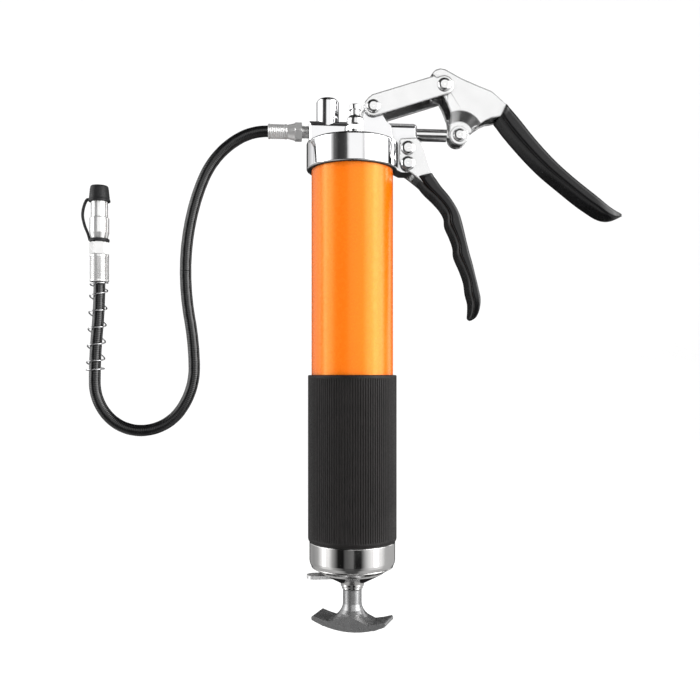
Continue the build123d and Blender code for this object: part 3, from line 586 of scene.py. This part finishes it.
def arc(start, heading, end):
    """Points of the arc leaving start along heading, without its end, and the final heading."""
    chord = (end[0] - start[0], end[1] - start[1])
    normal = (-heading[1], heading[0])
    radius = dot(chord, chord) / (2 * dot(chord, normal))
    centre = (start[0] + normal[0] * radius, start[1] + normal[1] * radius)
    first = math.atan2(start[1] - centre[1], start[0] - centre[0])
    turn = math.atan2(end[1] - centre[1], end[0] - centre[0]) - first
    if radius > 0:
        turn %= 2 * math.pi
    else:
        turn = -((-turn) % (2 * math.pi))
    steps = int(abs(radius * turn) / HOSE_STEP)
    points = []
    for i in range(steps):
        angle = first + turn * i / steps
        points.append((centre[0] + abs(radius) * math.cos(angle),
                       centre[1] + abs(radius) * math.sin(angle)))
    u = unit(chord)
    lean = dot(heading, u)
    return points, (2 * lean * u[0] - heading[0], 2 * lean * u[1] - heading[1])


def hose_line(knots):
    """Two arcs between each pair of knots, ending on the last knot."""
    line = []
    for (p0, t0), (p1, t1) in zip(knots, knots[1:]):
        t0, t1 = unit(t0), unit(t1)
        middle = meeting_point(p0, t0, p1, t1)
        points, heading = arc(p0, t0, middle)
        line += points
        line += arc(middle, unit(heading), p1)[0]
    return line + [knots[-1][0]]


def hose_relief(travelled, angle):
    """Fine cross-wise ribs with a slight spiral lay."""
    ribs = 0.05 * math.sin(2 * math.pi * travelled / 1.25 + angle)
    lay = 0.02 * math.sin(6 * angle - 2 * math.pi * travelled / 9.0)
    return -0.05 + ribs + lay


def build_hose():
    head_x, head_z = HOSE_KNOTS[0][0]
    end_x, end_z = HOSE_KNOTS[-1][0]
    tail_step = (head_x - HEAD_TAIL_X) / HEAD_TAIL_STEPS
    head_tail = [(HEAD_TAIL_X + tail_step * i, head_z) for i in range(HEAD_TAIL_STEPS)]
    end_tail = [(end_x, end_z + HOSE_STEP * (i + 1)) for i in range(END_TAIL_STEPS)]
    runs = []
    for name, line in (("hose_head_run", head_tail + hose_line(HOSE_KNOTS[:SPLIT_KNOT + 1])),
                       ("hose_end_run", hose_line(HOSE_KNOTS[SPLIT_KNOT:]) + end_tail)):
        path = [(x, 0, z) for x, z in line]
        runs.append(swept(name, path, HOSE_RADIUS, "hose_rubber", HOSE_SIDES, hose_relief))
    head_run, end_run = runs
    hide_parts("hose_upper", "hose_middle")
    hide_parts("hose_lower")
    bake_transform(head_run)
    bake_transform(end_run)


# ------------------------------------------------------------------ dust cap and lanyard
# (radius, z) profiles
CAP_SKIRT = [(5.72, 46.8), (7.0, 46.8), (7.26, 47.0), (7.32, 47.5), (7.22, 48.1), (6.95, 48.6),
             (6.82, 49.4)]
CAP_RIBS = 4
CAP_RIB_Z = 50.0
CAP_RIB_PITCH = 1.5
CAP_RIB_RADIUS = 6.78   # at the lowest rib
CAP_TAPER = 0.105       # radius lost per mm of height
CAP_RIB = [(-0.02, 0), (0.06, 0.35), (-0.06, 0.75), (-0.16, 1.1)]     # offsets for one rib
CAP_CROWN = [(6.05, 56.4), (5.85, 57.1), (5.4, 57.6), (4.6, 57.75), (3.2, 57.7), (2.2, 57.55),
             (0.02, 57.5), (0.02, 54.6), (5.4, 54.6), (5.72, 54.2)]
RING_PROFILE = [(5.22, 19.7), (5.5, 19.5), (6.4, 19.5), (6.7, 19.8), (6.7, 21.2), (6.4, 21.5),
                (5.5, 21.5), (5.22, 21.3)]
# (x, y, z) from the cap's skirt down to the ring on the coupler
STRAP_LINE = [
    (COUPLER_X - 6.7, 0, 48.3), (COUPLER_X - 8.2, 0, 48.1), (-182.9, 0, 45.4),
    (-184.1, 0, 40.9), (-184.3, 0, 36.3), (-182.9, 0, 30.2), (-180.9, 0, 25.2),
    (COUPLER_X - 6.4, 0, 20.6)]
STRAP_HALF_THICKNESS = 0.95
STRAP_WIDENING = 1.5    # width along Y against thickness


def build_dust_cap():
    ribs = []
    for i in range(CAP_RIBS):
        rise = i * CAP_RIB_PITCH
        radius = CAP_RIB_RADIUS - rise * CAP_TAPER
        ribs += [(radius + dr, CAP_RIB_Z + rise + dz) for dr, dz in CAP_RIB]
    profile = CAP_SKIRT + ribs + CAP_CROWN
    cap = turned("dust_cap_rubber", [profile] * 72, "seal_rubber", COUPLER_X)
    smooth_by_angle(cap, 40)
    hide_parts("dust_cap")
    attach(cap, "dust_cap")


def build_lanyard():
    strap = swept("lanyard_strap", catmull_rom(STRAP_LINE, 10), STRAP_HALF_THICKNESS,
                  "seal_rubber", 16)
    for vertex in strap.data.vertices:
        vertex.co.y *= STRAP_WIDENING
    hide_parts("lanyard")
    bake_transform(strap)
    ring = turned("lanyard_ring", [RING_PROFILE] * 56, "seal_rubber", COUPLER_X)
    smooth_by_angle(ring, 40)
    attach(ring, "hose_end")


# ------------------------------------------------------------------ coil springs
# node, joint that presses it, z of its fixed end and stroke (both in metres)
SPRINGS = [
    ("follower_spring", "rod_pull", -0.20415, 0.2052),
    ("latch_spring", "latch_tilt", -0.2051, 0.0022),
    ("valve_spring", "check_lift", 0.1101, 0.0013),
    ("filler_spring", "filler_press", 0.0935, 0.0016),
    ("coupler_spring", "coupler_press", 0.030, 0.0013)]


def build_spring(node, joint, fixed_z, stroke):
    """Copy of the CAD spring on the same body; it keeps its rest shape and does not shorten."""
    source = NODES[node]
    coil = bpy.data.objects.new(node + "_coil", source.data.copy())
    scene.collection.objects.link(coil)
    coil.matrix_world = source.matrix_world
    dress(coil, SLOT_OF[node])
    smooth_by_angle(coil, 30)
    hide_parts(node)
    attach(coil, source["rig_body"])
    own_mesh(coil)


# ------------------------------------------------------------------ studio floor (metres)
FLOOR_Z = -0.4620
FLOOR_HALF_WIDTH = 6
# (y, rise): flat under the object, then curving up behind it
FLOOR_PROFILE = [(-2.5, 0), (2.0, 0), (3.2, 0.1), (3.9, 0.5), (4.2, 1.1), (4.2, 4.0)]


def build_floor():
    mesh = bpy.data.meshes.new("studio_floor")
    verts = [(x, y, FLOOR_Z + rise) for y, rise in FLOOR_PROFILE
             for x in (-FLOOR_HALF_WIDTH, FLOOR_HALF_WIDTH)]
    faces = [(2 * i, 2 * i + 1, 2 * i + 3, 2 * i + 2) for i in range(len(FLOOR_PROFILE) - 1)]
    mesh.from_pydata(verts, [], faces)
    floor = bpy.data.objects.new("studio_floor", mesh)
    scene.collection.objects.link(floor)
    material, tree, shader = new_material("floor")
    set_inputs(tree, shader, {
        "Base Color": (0.93, 0.93, 0.93, 1), "Roughness": 0.9, "Specular IOR Level": 0.0,
        "Emission Color": (1, 1, 1, 1), "Emission Strength": 0.06})
    mesh.materials.append(material)
    mesh.shade_smooth()
    floor.visible_glossy = False


# ------------------------------------------------------------------ world
# Even white for diffuse light; glossy surfaces mirror soft boxes and dark flags.
# (azimuth in degrees, brightness); azimuth 0 is the camera's side, positive to its right
BOXES_UPPER = [
    (-180, 0.03), (-152, 0.03), (-146, 0.45), (-132, 0.62), (-118, 0.95), (-111, 0.66),
    (-104, 1.8), (-62, 2.4), (-53, 0.75), (-46, 0.14), (-34, 0.035), (-20, 0.05), (-14, 0.10),
    (-9, 0.85), (-5, 1.06), (24, 1.06), (29, 0.66), (35, 1.9), (46, 3.6), (92, 3.6),
    (100, 0.9), (104, 0.03), (113, 0.03), (118, 1.2), (133, 1.4), (139, 0.35), (143, 0.02),
    (180, 0.03)]
BOXES_LOWER = [
    (-180, 0.015), (-163, 0.03), (-150, 0.34), (-125, 0.30), (-104, 0.42), (-90, 0.95),
    (-66, 1.0), (-55, 0.40), (-44, 0.13), (-38, 0.012), (-24, 0.008), (-19, 0.09), (-8, 0.13),
    (2, 0.16), (6, 0.03), (9, 0.008), (23, 0.012), (28, 0.16), (38, 0.55), (52, 1.0), (82, 1.0),
    (98, 0.5), (125, 0.45), (150, 0.45), (163, 0.03), (180, 0.015)]
BOXES_DEEP = [
    (-180, 0.01), (-162, 0.02), (-140, 0.42), (-60, 0.46), (-38, 0.30), (-24, 0.07), (20, 0.07),
    (34, 0.34), (60, 0.50), (140, 0.45), (162, 0.02), (180, 0.01)]
STRIPS = [
    (-180, 0), (-88, 0), (-83, 0.7), (-81, 1), (-79, 0.7), (-74, 0), (58, 0), (64, 0.7),
    (67, 1), (70, 0.7), (76, 0), (180, 0)]
STRIP_BRIGHTNESS = 3.2


def build_world():
    world = bpy.data.worlds.new("studio")
    scene.world = world
    world.use_nodes = True
    world.cycles.sampling_method = "NONE"
    tree = world.node_tree
    tree.nodes.clear()
    calc = partial(math_node, tree)
    fade = partial(map_range, tree, interpolation_type="SMOOTHSTEP")

    def split(vector):
        return add_node(tree, "SeparateXYZ", {0: vector}).outputs

    def by_azimuth(stops):
        """Brightness round the horizon; the stops run from -180 to 180."""
        node = add_node(tree, "ValToRGB", {"Fac": turn})
        top = max(brightness for _, brightness in stops)
        colours = [(brightness / top,) * 3 + (1,) for _, brightness in stops]
        elements = node.color_ramp.elements
        elements[0].color, elements[1].color = colours[0], colours[-1]
        for (azimuth, _), colour in zip(stops[1:-1], colours[1:-1]):
            elements.new((azimuth + 180) / 360).color = colour
        return calc("MULTIPLY", node.outputs["Color"], top)

    def blend(a, b, share):
        rest = calc("SUBTRACT", 1.0, share)
        return calc("ADD", calc("MULTIPLY", a, share), calc("MULTIPLY", b, rest))

    # azimuth follows the camera, so the finish reads the same from every side
    coords = add_node(tree, "TexCoord").outputs
    z = split(coords["Generated"])[2]
    right, _, ahead = split(coords["Camera"])
    rest = calc("SUBTRACT", calc("SUBTRACT", 1.0, calc("MULTIPLY", z, z)),
                calc("MULTIPLY", right, right))
    flat = calc("SQRT", calc("MAXIMUM", rest, 0.0))
    back = calc("MULTIPLY", flat, calc("MULTIPLY", calc("SIGN", ahead), -1.0))
    azimuth = calc("ARCTAN2", right, back)
    turn = calc("ADD", calc("MULTIPLY", azimuth, 1 / (2 * math.pi)), 0.5)

    steep = fade(z, -0.62, -0.36, 1.0, 0.0)
    shallow = calc("SUBTRACT", 1.0, steep)
    lower = calc("ADD", calc("MULTIPLY", by_azimuth(BOXES_LOWER), shallow),
                 calc("MULTIPLY", by_azimuth(BOXES_DEEP), steep))
    boxes = blend(by_azimuth(BOXES_UPPER), lower, fade(z, -0.22, -0.04))
    boxes = calc("MULTIPLY", boxes, fade(z, 0.50, 0.66, 1.0, 0.03))
    strips = calc("MULTIPLY", by_azimuth(STRIPS), STRIP_BRIGHTNESS)
    strips = calc("MULTIPLY", strips, fade(z, -0.45, -0.25))
    strips = calc("MULTIPLY", strips, fade(z, 0.5, 0.7, 1.0, 0.0))
    mirrored = calc("ADD", boxes, strips)
    glossy = add_node(tree, "LightPath").outputs["Is Glossy Ray"]
    background = add_node(tree, "Background", {
        "Strength": blend(mirrored, 1.0, glossy), "Color": (1, 1, 1, 1)})
    add_node(tree, "OutputWorld", {0: background.outputs[0]})


# ------------------------------------------------------------------ lights and camera (metres)
CAMERA_AZIMUTH = math.radians(-5.0)
CAMERA_DISTANCE = 0.580
CAMERA_Z = -0.07125


def around(azimuth, distance, z):
    """Point at an azimuth in degrees from the camera's side, positive to the camera's right."""
    angle = CAMERA_AZIMUTH + math.radians(azimuth)
    return Vector((math.sin(angle) * distance, -math.cos(angle) * distance, z))


def add_light(name, azimuth, distance, z, width, height, power):
    """Soft box aimed at the origin and hidden from reflections."""
    data = bpy.data.lights.new(name, "AREA")
    data.shape = "RECTANGLE"
    data.size = width
    data.size_y = height
    data.energy = power
    obj = bpy.data.objects.new(name, data)
    scene.collection.objects.link(obj)
    obj.location = around(azimuth, distance, z)
    obj.rotation_euler = (-obj.location).to_track_quat("-Z", "Y").to_euler()
    obj.visible_glossy = False


def add_camera():
    data = bpy.data.cameras.new("camera")
    obj = bpy.data.objects.new("camera", data)
    scene.collection.objects.link(obj)
    obj.location = around(0, CAMERA_DISTANCE, CAMERA_Z)
    obj.rotation_euler = (math.radians(90), 0, CAMERA_AZIMUTH)
    data.sensor_width = 36
    data.lens = 42.582857
    data.shift_x = -0.0032857143
    data.shift_y = 0.035714286
    data.clip_start = 0.01
    scene.camera = obj


# ------------------------------------------------------------------ build
finish_cad_pieces()
build_barrel_grip()
build_vinyl_grip("lever_grip_vinyl", "lever_grip", LEVER_UPPER, LEVER_LOWER,
                 taper=0.26, blunt=0.16, rings=110, mouth_bead=0.35)
build_vinyl_grip("handle_grip_vinyl", "handle_grip", HANDLE_OUTER, HANDLE_INNER,
                 taper=0.22, blunt=0.42, rings=150, mouth_bead=0.3)
for seal in SEALS:
    build_seal(*seal)
build_hose()
build_dust_cap()
build_lanyard()
for spring in SPRINGS:
    build_spring(*spring)

build_floor()
build_world()
add_light("soft_left", azimuth=-60, distance=1.3, z=0.6, width=0.7, height=1.2, power=5)
add_light("soft_right", azimuth=82, distance=1.2, z=0.25, width=0.6, height=1.2, power=15)
add_light("soft_top", azimuth=10, distance=1.2, z=1.5, width=1.4, height=1.0, power=7)
add_camera()
scene.view_settings.view_transform = "Standard"
scene.view_settings.look = "None"
